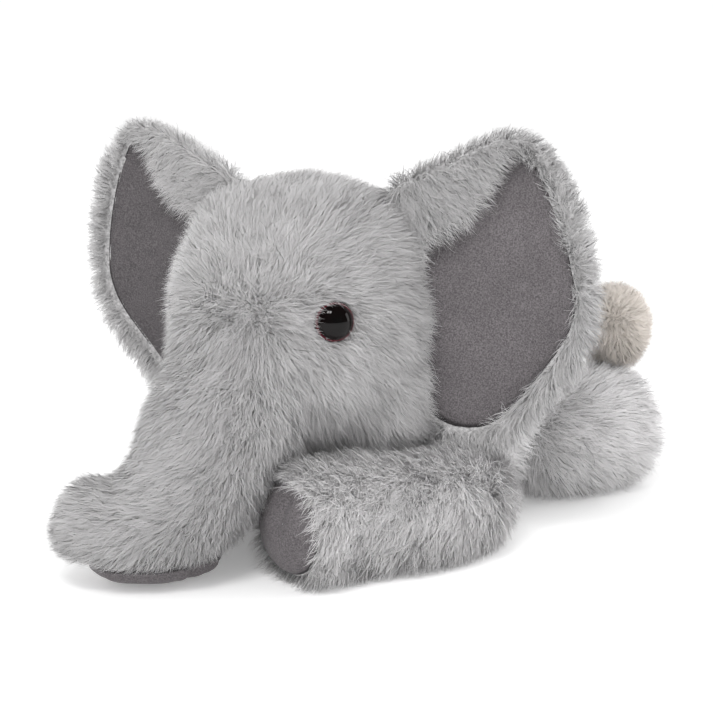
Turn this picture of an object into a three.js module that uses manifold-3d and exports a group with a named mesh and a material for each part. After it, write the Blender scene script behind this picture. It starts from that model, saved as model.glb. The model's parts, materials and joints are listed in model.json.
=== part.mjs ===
// A stuffed elephant lying on its belly: fur-fabric covers, each filled with its own stuffing,
// suede ear linings, trunk lining and soles, safety eyes with their washers, and a tufted tail.
// Millimetres, +Z up. The elephant faces -Y, its left side is +X, and it rests on z = 0.
import * as THREE from 'three';
import { mergeVertices } from 'three/addons/utils/BufferGeometryUtils.js';
import Module from 'manifold-3d';

const wasm = await Module();
wasm.setup();

// ---- driving dimensions ----
const FUR = 3;              // thickness of the fur cloth with its pile pressed flat
const SUEDE = 1.6;          // thickness of the suede cloth
const GAP = 0.5;            // air between pieces that touch
const JOINT_GAP = 1.0;      // room left around a limb that turns
const SOLE_DEPTH = 2.2;     // thickness of a padded sole
const SOLE_INSET = 4;       // from the tip of the leg's form to the flat of its foot
const REST_OFFSET = new THREE.Vector3(1.7, -19.5, 0); // puts the origin under the middle

const HEAD = {
  centre: [0, 0, 86],
  radii: [48, 47, 49],
  fullness: 2.2,
  backRise: 3,              // how much higher the back of the head is than its centre
  faceDrop: 5,              // how much lower the face is than its centre
  neck: 26,                 // radius of the neck opening
};
const NECK = [1, 34, 58];           // the head nods about this point
const BODY = {
  spine: [[0, 4, 36], [6, 60, 38], [15, 122, 35]],
  wide: 60,
  tall: 43,
  taper: 2,                 // how much narrower the shoulders are than the rump
  fullness: 2.6,
};
const TRUNK = {
  spine: [[-41, -97, 29], [-22, -82, 20], [-8, -68, 30], [-1, -53, 56], [0, -32, 77]],
  root: 28,
  tip: 20,
  fullness: 3,
  pivot: [0, -34, 74],
  middle: -70,              // how far forward the middle of the trunk lies
  liningTop: 9,             // height at which the fur cover meets the lining
  mouth: 24,                // radius of the opening towards the head
};
const FORELEG = {
  spine: [[26.5, -57, 20], [36, -33, 20], [54, -9, 19], [60, 11, 19], [56, 28, 20]],
  sole: 21.5,
  root: 19,
  fullness: 7,
  pivot: [57, 20, 19],
  tuck: new THREE.Vector3(0, 9, 0),     // how much further back the right one lies
};
const HIND_LEG = {
  spine: [[74, 135, 25], [69, 113, 25], [60, 95, 26], [47, 86, 28]],
  sole: 24,
  root: 24,
  fullness: 5,
  pivot: [50, 88, 27],
  tuck: new THREE.Vector3(18, 0, 0),    // how much further in the right one lies
};
const EAR = {
  root: [47, 8, 90],
  middle: [28, 5],
  back: 5,
  gap: 0.8,
  sweepLeft: 17,            // degrees the left ear is swept back
  sweepRight: 1,
  rollRight: 7,             // degrees the right ear leans out
  raiseRight: 3,            // how much higher the right ear sits
};
// Outlines of the ears from their root, as outward and upward distances.
const EAR_LINING = [[1, 27], [17, 39], [31, 60], [38, 63], [49, 42], [57, 18], [58, -3], [44, -25], [28, -43],
  [14, -45], [1, -36]];
const EAR_BACK = [[-8, 42], [5, 54], [20, 62], [35, 66], [46, 58], [55, 42], [61, 22], [63, 2], [58, -14],
  [45, -31], [30, -47], [15, -49], [1, -40], [-8, -20]];
const EYE = {
  centre: [33, -32.5, 91],
  radius: 7.4,
  dome: 5,                  // how far the dome stands out
  flange: 1,                // thickness behind the dome's edge
  stem: 2.2,
  stemLength: 9,
  washer: 7,
  washerThick: 1.6,
  washerDepth: 5.5,         // from the dome's edge in to the washer
  view: 25,                 // the cloth is cut away this far out, to clear the dome
};
const TAIL = {
  spine: [[17, 114, 55], [27, 130, 58], [42, 136, 63], [58, 133, 66]],
  radius: 4.2,
  fullness: 6,
  tuft: [71, 131, 65],
  tuftRadii: [12, 13, 15],
  pivot: [18, 117, 55],
};

// How far each limb turns, in degrees, for the room cut around it.
const TURN = {
  head: 15,
  trunk: 22,
  ear: 10,
  foreleg: 20,
  hindBack: 8,
  hindForward: 18,
  tail: 80,
};

const furColour = new THREE.Color(0.49, 0.48, 0.48);
const suedeColour = new THREE.Color(0.17, 0.15, 0.16);
const fillColour = new THREE.Color(0.85, 0.85, 0.83);
const eyeColour = new THREE.Color(0.01, 0.008, 0.008);
const washerColour = new THREE.Color(0.85, 0.85, 0.85);
const tuftColour = new THREE.Color(0.68, 0.58, 0.5);

const finish = (color, roughness) => new THREE.MeshStandardMaterial({ color, roughness, metalness: 0 });
const fur = () => finish(furColour, 0.95);
const suede = () => finish(suedeColour, 0.85);
const fill = () => finish(fillColour, 1);

// ---- solids ----
const vec = (p) => new THREE.Vector3(...p);

// The closed geometry as a solid that can be joined and cut.
function solid(geometry) {
  const bare = geometry.clone();
  bare.deleteAttribute('normal');
  bare.deleteAttribute('uv');
  const merged = mergeVertices(bare, 1e-4);
  const index = [];
  for (let i = 0; i < merged.index.count; i += 3) {
    const [a, b, c] = [0, 1, 2].map((k) => merged.index.getX(i + k));
    if (a !== b && b !== c && c !== a) index.push(a, b, c);
  }
  return new wasm.Manifold(new wasm.Mesh({
    numProp: 3,
    vertProperties: new Float32Array(merged.attributes.position.array),
    triVerts: new Uint32Array(index),
  }));
}

// The solid as an indexed geometry.
function geometryOf(body) {
  const mesh = body.getMesh();
  const geometry = new THREE.BufferGeometry();
  geometry.setAttribute('position', new THREE.BufferAttribute(new Float32Array(mesh.vertProperties), 3));
  geometry.setIndex(new THREE.BufferAttribute(new Uint32Array(mesh.triVerts), 1));
  geometry.computeVertexNormals();
  return geometry;
}

// A stuffed bag: a unit ball drawn out along a spine. grow makes it fatter all round, or thinner where
// it is below nought, lengthen moves both ends out, and fullness says how square the ends are. It is
// flat where it would reach below floor.
function bag({ spine, size, fullness = 3, grow = 0, lengthen = grow, around = 14, along = 10, floor = 0 }) {
  const curve = new THREE.CatmullRomCurve3(spine.map(vec), false, 'centripetal');
  const ball = new THREE.SphereGeometry(1, around, along);
  const place = ball.attributes.position;
  const up = new THREE.Vector3(0, 0, 1);
  const p = new THREE.Vector3();
  for (let i = 0; i < place.count; i++) {
    p.fromBufferAttribute(place, i);
    const reach = -p.y;
    const t = (reach + 1) / 2;
    const tangent = curve.getTangentAt(t);
    const side = new THREE.Vector3().crossVectors(up, tangent).normalize();
    const top = new THREE.Vector3().crossVectors(tangent, side).normalize();
    const [wide, tall] = size(t);
    const swell = Math.pow(Math.max(0, 1 - Math.pow(Math.abs(reach), fullness)), 1 / fullness);
    const ring = Math.hypot(p.x, p.z) || 1;
    const at = curve.getPointAt(t);
    at.addScaledVector(tangent, reach * lengthen);
    at.addScaledVector(side, (p.x / ring) * swell * (wide + grow));
    at.addScaledVector(top, (p.z / ring) * swell * (tall + grow));
    place.setXYZ(i, at.x, at.y, Math.max(at.z, floor));
  }
  return solid(ball);
}

const between = (a, b) => (t) => {
  const r = a + (b - a) * t;
  return [r, r];
};

function ball(centre, radius, around = 16, along = 10) {
  const geometry = new THREE.SphereGeometry(radius, around, along);
  geometry.translate(...centre);
  return solid(geometry);
}

// A block whose face lies at point, facing back along normal, to cut off what is beyond.
function beyond(point, normal, size = 200) {
  const geometry = new THREE.BoxGeometry(size, size, size);
  geometry.translate(0, 0, size / 2);
  const turn = new THREE.Quaternion().setFromUnitVectors(new THREE.Vector3(0, 0, 1), vec(normal).normalize());
  geometry.applyQuaternion(turn);
  geometry.translate(...point);
  return solid(geometry);
}

// A solid turned about a line through pivot.
function turned(body, pivot, axis, degrees) {
  const matrix = new THREE.Matrix4().makeTranslation(...pivot)
    .multiply(new THREE.Matrix4().makeRotationAxis(vec(axis).normalize(), THREE.MathUtils.degToRad(degrees)))
    .multiply(new THREE.Matrix4().makeTranslation(...pivot.map((v) => -v)));
  const geometry = geometryOf(body);
  geometry.applyMatrix4(matrix);
  return solid(geometry);
}

// What a solid sweeps through as it turns, in even steps.
function sweep(body, pivot, axis, from, to, steps = 2) {
  let swept = turned(body, pivot, axis, from);
  for (let i = 1; i <= steps; i++) {
    swept = swept.add(turned(body, pivot, axis, from + (to - from) * i / steps));
  }
  return swept;
}

// Only the largest piece, in case a cut leaves a crumb.
function largest(body) {
  return body.decompose().sort((a, b) => b.volume() - a.volume())[0];
}

const UP = [0, 0, 1];
const DOWN = [0, 0, -1];
const NODDING = [-1, 0, 0];          // turning about this line lifts what is in front
const THROUGH = 5;                  // a hollow this much longer comes out of both ends
const mirrorX = (p) => [-p[0], p[1], p[2]];

const elephant = new THREE.Group();

function addNode(name, body, material) {
  const mesh = new THREE.Mesh(geometryOf(largest(body)), material);
  mesh.name = name;
  elephant.add(mesh);
}

// ---- the outer shapes of the stuffed forms, each with an amount to grow or shrink ----
const headForm = (grow) => bag({
  spine: [[0, HEAD.radii[1], HEAD.centre[2] + HEAD.backRise], HEAD.centre,
    [0, -HEAD.radii[1], HEAD.centre[2] - HEAD.faceDrop]],
  size: () => [HEAD.radii[0], HEAD.radii[2]],
  fullness: HEAD.fullness,
  grow,
  around: 20,
  along: 12,
});
const bodyForm = (grow) => bag({
  spine: BODY.spine,
  size: (t) => [BODY.wide - BODY.taper * (1 - t), BODY.tall],
  fullness: BODY.fullness,
  grow,
  around: 20,
  along: 12,
  floor: grow < 0 ? -grow : 0,
});
const trunkForm = (grow) => bag({
  spine: TRUNK.spine,
  size: between(TRUNK.tip, TRUNK.root),
  fullness: TRUNK.fullness,
  grow,
  around: 16,
  along: 14,
  floor: grow < 0 ? -grow : 0,
});

// ---- legs: a cover open at the hip or shoulder, its stuffing, and a suede sole sewn in its end ----
function makeLeg(name, dims, side, shift, turnFrom, turnTo) {
  const place = (p) => vec(side > 0 ? p : mirrorX(p)).add(shift).toArray();
  const spine = dims.spine.map(place);
  const pivot = place(dims.pivot);
  const outward = vec(spine[0]).sub(vec(spine[1])).setZ(0).normalize();
  const form = (grow, lengthen = grow) => bag({
    spine,
    size: between(dims.sole, dims.root),
    fullness: dims.fullness,
    grow,
    lengthen,
    floor: grow < 0 ? -grow : 0,
  });
  // What lies past a plane across the foot, this far in from the flat of the sole.
  const past = (inset) => beyond(
    vec(spine[0]).addScaledVector(outward, -SOLE_INSET - inset).toArray(), outward.toArray());
  const outer = form(0).subtract(past(0));
  const padFrom = past(SOLE_DEPTH);
  addNode(`${name}_cover`, outer.subtract(form(-FUR, THROUGH)), fur());
  addNode(`${name}_stuffing`, form(-FUR - 2 * GAP, 0).subtract(past(SOLE_DEPTH + GAP)), fill());
  addNode(`${name}_sole`, form(-FUR - GAP, THROUGH).intersect(padFrom).subtract(past(0)), suede());
  return sweep(form(JOINT_GAP).subtract(past(-JOINT_GAP)), pivot, UP, turnFrom, turnTo);
}

const legRooms = [
  makeLeg('left_foreleg', FORELEG, 1, new THREE.Vector3(), 0, TURN.foreleg),
  makeLeg('right_foreleg', FORELEG, -1, FORELEG.tuck, 0, -TURN.foreleg),
  makeLeg('left_hind_leg', HIND_LEG, 1, new THREE.Vector3(), -TURN.hindForward, TURN.hindBack),
  makeLeg('right_hind_leg', HIND_LEG, -1, HIND_LEG.tuck, TURN.hindForward, -TURN.hindBack),
];

// ---- trunk: a fur cover over the top and sides, a suede lining along the underside ----
const trunkOuter = trunkForm(0);
const trunkSkin = trunkOuter.subtract(trunkForm(-FUR));
const trunkMouth = ball(TRUNK.pivot, TRUNK.mouth);
const underside = beyond([0, TRUNK.middle, TRUNK.liningTop], DOWN);
const underLining = beyond([0, TRUNK.middle, TRUNK.liningTop - GAP], DOWN);
addNode('trunk_cover', trunkSkin.subtract(underside).subtract(trunkMouth), fur());
addNode('trunk_lining', trunkSkin.intersect(underLining), suede());
addNode('trunk_stuffing', trunkForm(-FUR - GAP), fill());
const trunkSwept = sweep(trunkForm(JOINT_GAP), TRUNK.pivot, NODDING, 0, TURN.trunk);

// ---- eyes: a glossy dome on a stem pushed through the cloth, held by a washer inside ----
function makeEye(name, side) {
  const centre = vec(side > 0 ? EYE.centre : mirrorX(EYE.centre));
  const outward = centre.clone().sub(vec(HEAD.centre)).normalize();
  const turn = new THREE.Quaternion().setFromUnitVectors(new THREE.Vector3(0, 1, 0), outward);
  const stand = (profile) => {
    const geometry = new THREE.LatheGeometry(profile.map(([x, y]) => new THREE.Vector2(x, y)), 16);
    geometry.applyQuaternion(turn);
    geometry.translate(...centre.toArray());
    return solid(geometry);
  };
  const { radius, stem, stemLength, flange, dome, washer, washerThick, washerDepth, view } = EYE;
  const washerBack = -washerDepth - washerThick;
  const rim = [0, 1, 2, 3].map((k) => {
    const angle = k * Math.PI / 8;
    return [radius * Math.cos(angle), dome * Math.sin(angle)];
  });
  const eye = stand([[0, -stemLength], [stem, -stemLength], [stem, -flange], [radius, -flange],
    ...rim, [0, dome]]);
  const ring = stand([[stem + GAP, washerBack], [washer, washerBack], [washer, -washerDepth],
    [stem + GAP, -washerDepth], [stem + GAP, washerBack]]);
  addNode(`${name}_eye`, eye, finish(eyeColour, 0.05));
  addNode(`${name}_eye_washer`, ring, finish(washerColour, 0.4));
  const eyeRoom = stand([[0, -stemLength - GAP], [stem + GAP, -stemLength - GAP], [stem + GAP, -flange - GAP],
    [radius + GAP, -flange - GAP], [radius + GAP, view], [0, view]]);
  const washerRoom = stand([[0, washerBack - GAP], [washer + GAP, washerBack - GAP],
    [washer + GAP, -washerDepth + GAP], [0, -washerDepth + GAP]]);
  return { eyeRoom, washerRoom };
}
const eyes = [makeEye('left', 1), makeEye('right', -1)];
const eyeRooms = eyes[0].eyeRoom.add(eyes[1].eyeRoom);
const washerRooms = eyes[0].washerRoom.add(eyes[1].washerRoom);

// ---- ears: a fur back whose rim turns over a suede lining ----
function earShape(outline, grow) {
  const middle = new THREE.Vector2(...EAR.middle);
  const edge = outline.map(([u, v]) => {
    const point = new THREE.Vector2(u, v);
    return point.addScaledVector(point.clone().sub(middle).normalize(), grow);
  });
  return new THREE.Shape(new THREE.SplineCurve([...edge, edge[0]]).getPoints(32).slice(0, -1));
}

function earPlate(outline, grow, thickness, front) {
  const flat = { depth: thickness, bevelEnabled: false };
  const geometry = new THREE.ExtrudeGeometry(earShape(outline, grow), flat);
  geometry.translate(0, 0, front);
  return geometry;
}

// Stands an ear plate up against its side of the head: u runs outward, v up, and the front faces -Y.
function standEar(geometry, side) {
  geometry.rotateX(Math.PI / 2);
  geometry.rotateZ(THREE.MathUtils.degToRad(side > 0 ? EAR.sweepLeft : EAR.sweepRight));
  const standing = side > 0 ? geometry : mirrored(geometry);
  if (side < 0) standing.rotateY(THREE.MathUtils.degToRad(-EAR.rollRight));
  standing.translate(side * EAR.root[0], EAR.root[1], EAR.root[2] + (side < 0 ? EAR.raiseRight : 0));
  return solid(standing);
}

// The geometry reflected across X, with its faces turned back to point outward.
function mirrored(geometry) {
  const copy = geometry.index ? geometry.toNonIndexed() : geometry.clone();
  copy.scale(-1, 1, 1);
  const place = copy.attributes.position;
  const a = new THREE.Vector3();
  const b = new THREE.Vector3();
  for (let i = 0; i < place.count; i += 3) {
    a.fromBufferAttribute(place, i + 1);
    b.fromBufferAttribute(place, i + 2);
    place.setXYZ(i + 1, ...b.toArray());
    place.setXYZ(i + 2, ...a.toArray());
  }
  return copy;
}

for (const [name, side] of [['left', 1], ['right', -1]]) {
  const back = standEar(earPlate(EAR_BACK, 0, EAR.back, -EAR.back), side);
  const pocket = standEar(earPlate(EAR_LINING, GAP, SUEDE + 2 * GAP, -SUEDE - GAP), side);
  const lining = standEar(earPlate(EAR_LINING, 0, SUEDE, -SUEDE), side);
  const seam = [side * EAR.root[0], EAR.root[1], EAR.root[2]];
  const clear = sweep(headForm(EAR.gap), seam, UP, -TURN.ear, TURN.ear);
  addNode(`${name}_ear_back`, back.subtract(pocket).subtract(clear), fur());
  addNode(`${name}_ear_lining`, lining.subtract(clear), suede());
}

// ---- head: one cover with the neck open at the back, filled, with room for the trunk and eyes ----
const neckBall = ball(NECK, HEAD.neck);
const headSkin = headForm(0).subtract(headForm(-FUR)).subtract(trunkSwept).subtract(neckBall)
  .subtract(eyeRooms);
const headFill = headForm(-FUR - GAP).subtract(trunkSwept).subtract(eyeRooms).subtract(washerRooms);
addNode('head_cover', headSkin, fur());
addNode('head_stuffing', headFill, fill());
const headSwept = sweep(headForm(JOINT_GAP), NECK, NODDING, 0, TURN.head);

// ---- tail: a narrow fur tube from the rump with a pale tuft at its end ----
const tailForm = (grow) => bag({
  spine: TAIL.spine,
  size: between(TAIL.radius, TAIL.radius),
  fullness: TAIL.fullness,
  grow,
  around: 12,
  along: 14,
});
const tuft = bag({
  spine: [[TAIL.tuft[0] - TAIL.tuftRadii[0], TAIL.tuft[1], TAIL.tuft[2]],
    [TAIL.tuft[0] + TAIL.tuftRadii[0], TAIL.tuft[1], TAIL.tuft[2]]],
  size: () => [TAIL.tuftRadii[1], TAIL.tuftRadii[2]],
  fullness: 2,
  around: 16,
  along: 10,
});

// ---- body: one cover, filled, with room for the head, the four legs and the tail ----
const tailSwept = sweep(tailForm(JOINT_GAP), TAIL.pivot, UP, 0, TURN.tail, 4);
const bodyRoom = [...legRooms, tailSwept].reduce((all, room) => all.add(room), headSwept);
addNode('body_cover', bodyForm(0).subtract(bodyForm(-FUR)).subtract(bodyRoom), fur());
addNode('body_stuffing', bodyForm(-FUR - GAP).subtract(bodyRoom), fill());

addNode('tail_cover', tailForm(0), fur());
addNode('tail_tuft', tuft.subtract(tailForm(GAP)), finish(tuftColour, 0.95));

elephant.position.copy(REST_OFFSET);
export default elephant;
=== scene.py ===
"""A long-pile stuffed elephant, lying on its belly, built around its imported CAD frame.

Every fur cover becomes a smooth stuffed skin with its pile made of real strands. The ear linings, the
soles and the trunk's underside become suede pads, and the eyes become glossy domes with a dark red ring.
Lengths are in metres, in the frame of the CAD: the elephant faces -Y, and its left side is +X.
"""
import json
import math

import bmesh
import bpy
import numpy as np
from mathutils import Matrix, Vector
from mathutils.bvhtree import BVHTree
from mathutils.kdtree import KDTree


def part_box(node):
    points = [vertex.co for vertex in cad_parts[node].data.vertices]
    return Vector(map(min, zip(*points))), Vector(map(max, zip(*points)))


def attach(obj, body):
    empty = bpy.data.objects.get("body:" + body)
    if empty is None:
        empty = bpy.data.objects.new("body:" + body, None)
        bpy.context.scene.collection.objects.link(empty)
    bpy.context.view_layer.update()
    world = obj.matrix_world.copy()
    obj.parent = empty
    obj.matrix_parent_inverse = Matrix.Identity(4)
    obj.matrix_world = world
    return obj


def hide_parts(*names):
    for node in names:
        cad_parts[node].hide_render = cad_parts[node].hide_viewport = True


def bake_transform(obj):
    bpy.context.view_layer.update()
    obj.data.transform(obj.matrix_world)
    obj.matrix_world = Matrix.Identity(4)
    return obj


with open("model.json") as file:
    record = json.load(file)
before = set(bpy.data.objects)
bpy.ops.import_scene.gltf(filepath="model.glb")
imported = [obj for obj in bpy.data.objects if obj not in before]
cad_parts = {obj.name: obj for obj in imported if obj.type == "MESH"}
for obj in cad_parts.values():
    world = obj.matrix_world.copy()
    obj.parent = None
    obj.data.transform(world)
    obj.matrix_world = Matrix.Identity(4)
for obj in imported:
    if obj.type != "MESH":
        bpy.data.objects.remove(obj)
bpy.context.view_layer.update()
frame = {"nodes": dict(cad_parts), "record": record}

MM = 0.001
LEGS = ("left_foreleg", "right_foreleg", "left_hind_leg", "right_hind_leg")
JOINTS = {j["name"]: j for j in frame["record"]["behaviour"]["joints"]}
SIDES = ("left", "right")
DENSITY = 1.0          # the share of the pile that is grown


def middle(node):
    low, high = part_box(node)
    return np.array((low + high) / 2)


def pivot(joint):
    return np.array(JOINTS[joint]["pos_m"], float)


def leg_joint(leg):
    return f"{leg}_splay" if "fore" in leg else f"{leg}_swing"


HEAD = middle("head_cover")
UP = np.array([0.0, 0.0, 1.0])
UPWARD = Vector((0.013, 0.021, 1.0)).normalized()     # not quite along any mesh edge


# ---- vectors and noise on arrays of points ----
def unit(v):
    return v / np.maximum(np.linalg.norm(v, axis=-1, keepdims=True), 1e-12)


def along_surface(direction, normal):
    """The direction with its part along the normal taken out, at length one."""
    return unit(direction - (direction * normal).sum(-1, keepdims=True) * normal)


CELL_PRIMES = (73856093, 19349663, 83492791)   # large primes, which keep neighbouring cells unlike
SEED_PRIME = 2654435761
SCRAMBLE_PRIME = 1274126177
STEP_PRIME = 97
LOW_32_BITS = 0xFFFFFFFF
LOW_16_BITS = 0xFFFF


def lattice_value(cell, seed):
    """Three numbers from -1 to 1 for each lattice cell, always the same for the same cell."""
    c = cell.astype(np.int64)
    h = c[:, 0] * CELL_PRIMES[0] ^ c[:, 1] * CELL_PRIMES[1] ^ c[:, 2] * CELL_PRIMES[2] ^ seed * SEED_PRIME
    out = []
    for k in range(3):
        h = (h ^ (h >> 13)) * SCRAMBLE_PRIME + STEP_PRIME * (k + 1) & LOW_32_BITS
        h = h ^ (h >> 16)
        out.append((h & LOW_16_BITS) / (LOW_16_BITS / 2) - 1)
    return np.stack(out, -1)


def drift(points, size, seed):
    """Smooth vector noise, with features of about the given size."""
    scaled = points / size
    cell = np.floor(scaled)
    share = scaled - cell
    share = share * share * (3 - 2 * share)
    total = np.zeros_like(points)
    for corner in np.ndindex(2, 2, 2):
        corner = np.array(corner)
        weight = np.prod(np.where(corner == 1, share, 1 - share), axis=1, keepdims=True)
        total += weight * lattice_value(cell + corner, seed)
    return total


# ---- meshes ----
def new_object(name, mesh):
    obj = bpy.data.objects.new(name, mesh)
    bpy.context.collection.objects.link(obj)
    return obj


def points_of(mesh):
    co = np.empty(len(mesh.vertices) * 3, np.float64)
    mesh.vertices.foreach_get("co", co)
    return co.reshape(-1, 3)


def normals_of(mesh):
    no = np.empty(len(mesh.vertices) * 3, np.float32)
    mesh.vertex_normals.foreach_get("vector", no)
    return no.reshape(-1, 3).astype(np.float64)


def set_points(mesh, points):
    mesh.vertices.foreach_set("co", points.astype(np.float32).ravel())
    mesh.update()


def set_value(mesh, name, values):
    """Gives each point of the mesh a number, which its material reads by name."""
    layer = mesh.attributes.get(name) or mesh.attributes.new(name, "FLOAT", "POINT")
    layer.data.foreach_set("value", values.astype(np.float32))


def keep_largest(mesh):
    """Drops every island but the largest, such as the wall of a closed gap inside."""
    edges = np.empty(len(mesh.edges) * 2, np.int32)
    mesh.edges.foreach_get("vertices", edges)
    a, b = edges.reshape(-1, 2).T
    label = np.arange(len(mesh.vertices))
    while True:
        low = np.minimum(label[a], label[b])
        spread = label.copy()
        np.minimum.at(spread, a, low)
        np.minimum.at(spread, b, low)
        spread = spread[spread]
        if (spread == label).all():
            break
        label = spread
    islands, counts = np.unique(label, return_counts=True)
    biggest = islands[counts.argmax()]
    if len(islands) > 1:
        bm = bmesh.new()
        bm.from_mesh(mesh)
        bm.verts.ensure_lookup_table()
        loose = [bm.verts[int(i)] for i in np.nonzero(label != biggest)[0]]
        bmesh.ops.delete(bm, geom=loose, context="VERTS")
        bm.to_mesh(mesh)
        bm.free()


def soft_skin(name, nodes, voxel, rounds, inset=0.0, wads=()):
    """One smooth closed skin round the CAD nodes, drawn in a little to leave room for the pile. Each wad
    is a ball of stuffing, (place, radius), that fills a joint's gap."""
    bm = bmesh.new()
    for node in nodes:
        bm.from_mesh(frame["nodes"][node].data)
    for place, radius in wads:
        bmesh.ops.create_icosphere(bm, subdivisions=3, radius=radius, matrix=Matrix.Translation(place))
    bmesh.ops.remove_doubles(bm, verts=bm.verts, dist=1e-6)
    mesh = bpy.data.meshes.new(name)
    bm.to_mesh(mesh)
    bm.free()
    obj = new_object(name, mesh)
    remesh = obj.modifiers.new("remesh", "REMESH")
    remesh.mode = "VOXEL"
    remesh.voxel_size = voxel
    smooth = obj.modifiers.new("smooth", "SMOOTH")
    smooth.factor = 0.5
    smooth.iterations = rounds
    graph = bpy.context.evaluated_depsgraph_get()
    made = bpy.data.meshes.new_from_object(obj.evaluated_get(graph))
    obj.modifiers.clear()
    obj.data = made
    keep_largest(made)
    set_points(made, points_of(made) - normals_of(made) * inset)
    made.polygons.foreach_set("use_smooth", [True] * len(made.polygons))
    return obj


def tree_of(obj):
    mesh = obj.data
    return BVHTree.FromPolygons([v.co for v in mesh.vertices], [p.vertices for p in mesh.polygons])


def buried(tree, points, depth):
    """True for each point that lies further than the depth inside a closed skin."""
    out = np.zeros(len(points), bool)
    step = UPWARD * 1e-6
    for i, p in enumerate(points):
        p = Vector(p)
        if tree.find_nearest(p, depth)[0] is not None:
            continue
        crossed = 0
        spot = tree.ray_cast(p, UPWARD)[0]
        while spot is not None:
            crossed += 1
            spot = tree.ray_cast(spot + step, UPWARD)[0]
        out[i] = crossed % 2 == 1
    return out


# ---- pile: real strands rooted on a skin ----
def scatter(mesh, density, rng):
    """Random points on the mesh, so many to the square metre, with the skin's normals there."""
    mesh.calc_loop_triangles()
    tris = np.empty(len(mesh.loop_triangles) * 3, np.int32)
    mesh.loop_triangles.foreach_get("vertices", tris)
    tris = tris.reshape(-1, 3)
    co, no = points_of(mesh), normals_of(mesh)
    a, b, c = co[tris[:, 0]], co[tris[:, 1]], co[tris[:, 2]]
    area = np.linalg.norm(np.cross(b - a, c - a), axis=1) / 2
    count = int(area.sum() * density)
    pick = rng.choice(len(tris), count, p=area / area.sum())
    r1 = np.sqrt(rng.random((count, 1)))
    r2 = rng.random((count, 1))
    w = np.concatenate([1 - r1, r1 * (1 - r2), r1 * r2], 1)
    points = (co[tris[pick]] * w[:, :, None]).sum(1)
    normals = unit((no[tris[pick]] * w[:, :, None]).sum(1))
    return points, normals


STEPS = np.array([0.0, 0.36, 0.7, 1.0])        # where a strand's cross-sections lie along it
TAPER = 1 - STEPS ** 2.5                       # the share of its width at each
FLOOR_GAP = 0.3 * MM                           # no strand reaches lower
CORNERS = 7                                    # of one strand: three pairs and its tip
CORNER_STEP = np.array([0, 0, 1, 1, 2, 2, 3])  # the cross-section that each corner belongs to
FACES = np.array([0, 1, 3, 2, 2, 3, 5, 4, 4, 5, 6])     # corners of its two four-sided faces and its tip
FACE_STARTS = np.array([0, 4, 8])
UV_MARGIN = 0.01                               # keeps every strand inside the tile


def by_corner(first_side, second_side, tip):
    """One row for each corner of each strand, from the rows of its two sides and its tip."""
    out = np.empty((len(tip), CORNERS, 3))
    out[:, 0:6:2] = first_side[:, :3]
    out[:, 1:6:2] = second_side[:, :3]
    out[:, 6] = tip
    return out


def strand_mesh(name, paths, widths, facing, normals, shade):
    """Ribbons along paths (n, 4, 3), tapering to a point. shade is each strand's own number, from 0 to 1."""
    n = len(paths)
    tangent = unit(np.gradient(paths, axis=1))
    side = unit(np.cross(tangent, facing[:, None, :]))
    half = (widths[:, None] * TAPER[None, :] / 2)[:, :, None]
    corners = by_corner(paths - side * half, paths + side * half, paths[:, 3])
    corners[:, :, 2] = np.maximum(corners[:, :, 2], FLOOR_GAP)
    strand = np.arange(n)[:, None]
    mesh = bpy.data.meshes.new(name)
    mesh.vertices.add(n * CORNERS)
    mesh.vertices.foreach_set("co", corners.astype(np.float32).ravel())
    mesh.loops.add(n * len(FACES))
    mesh.loops.foreach_set("vertex_index", (strand * CORNERS + FACES).astype(np.int32).ravel())
    mesh.polygons.add(n * len(FACE_STARTS))
    mesh.polygons.foreach_set("loop_start", (strand * len(FACES) + FACE_STARTS).astype(np.int32).ravel())
    mesh.polygons.foreach_set("use_smooth", np.ones(n * len(FACE_STARTS), bool))
    mesh.update(calc_edges=True)
    uv = np.empty((n, len(FACES), 2), np.float32)
    uv[:, :, 0] = shade[:, None]
    uv[:, :, 1] = STEPS[CORNER_STEP][FACES] * (1 - 2 * UV_MARGIN) + UV_MARGIN
    mesh.uv_layers.new(name="OFBake").data.foreach_set("uv", uv.ravel())
    # Lit mostly as the cloth below it is, so that the pile shades as one soft body.
    soft = unit(normals[:, None, :] + tangent * 0.25 + facing[:, None, :] * 0.35)
    soft = by_corner(soft, soft, soft[:, 3])
    mesh.normals_split_custom_set_from_vertices(soft.reshape(-1, 3).astype(np.float32))
    return mesh


PIECE_STRANDS = 38000          # the most strands in one piece
CLUMP_STRANDS = 16             # strands to a clump
CLUMP_REACH = 2.4 * MM         # how far away a clump's leading strand still draws others in
WIDE_SWIRL = 13 * MM           # sizes of the swirls in the nap
FINE_SWIRL = 3.5 * MM
LEAN_PATCH = 5 * MM            # sizes of the patches that lean and that are shaded alike
SHADE_PATCH = 4 * MM
MESSY = 0.6                    # how strongly the swirls turn the nap
SAG = 0.08                     # how far a tip hangs, as a share of the strand's length
ROOT_DEPTH = 0.6 * MM          # how far below the cloth's face a strand is rooted
RAGGED = 2.5 * MM              # how uneven the lower edge of a fringe is


def combed(points, normals, flow, seed, rng):
    """The way each strand runs along the skin, and how firmly the nap lays it there, nought to one."""
    nap = flow(points, normals)
    strength = np.clip(np.linalg.norm(nap, axis=1), 0, 1)
    swirl = drift(points, WIDE_SWIRL, seed) * 0.7 + drift(points, FINE_SWIRL, seed + 7) * 0.9
    stray = rng.normal(0, 0.36, (len(points), 3))
    return along_surface(nap + swirl * MESSY + stray, normals), strength


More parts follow.
